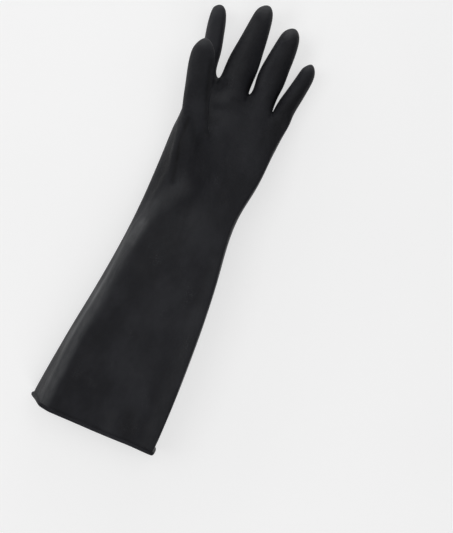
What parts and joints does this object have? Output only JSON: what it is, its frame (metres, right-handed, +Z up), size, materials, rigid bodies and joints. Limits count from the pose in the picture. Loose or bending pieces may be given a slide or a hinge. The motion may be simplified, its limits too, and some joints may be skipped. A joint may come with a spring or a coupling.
{
  "type": "latex glove",
  "caption": "Long left-hand latex glove with a flared gauntlet and a rolled hem, lying palm up and open at the cuff.",
  "frame": {"origin": "centre of the glove's outline on the surface it lies on", "axes": "+X to the little finger's side, +Y from the cuff to the fingertips, +Z up out of the palm, with the back of the hand on the surface"},
  "size_m": [0.1282, 0.403, 0.0594],
  "materials": {
    "latex": "matte, faintly mottled and powdered"
  },
  "bodies": {
    "root": {"glove_shell": "latex"}
  },
  "joints": []
}
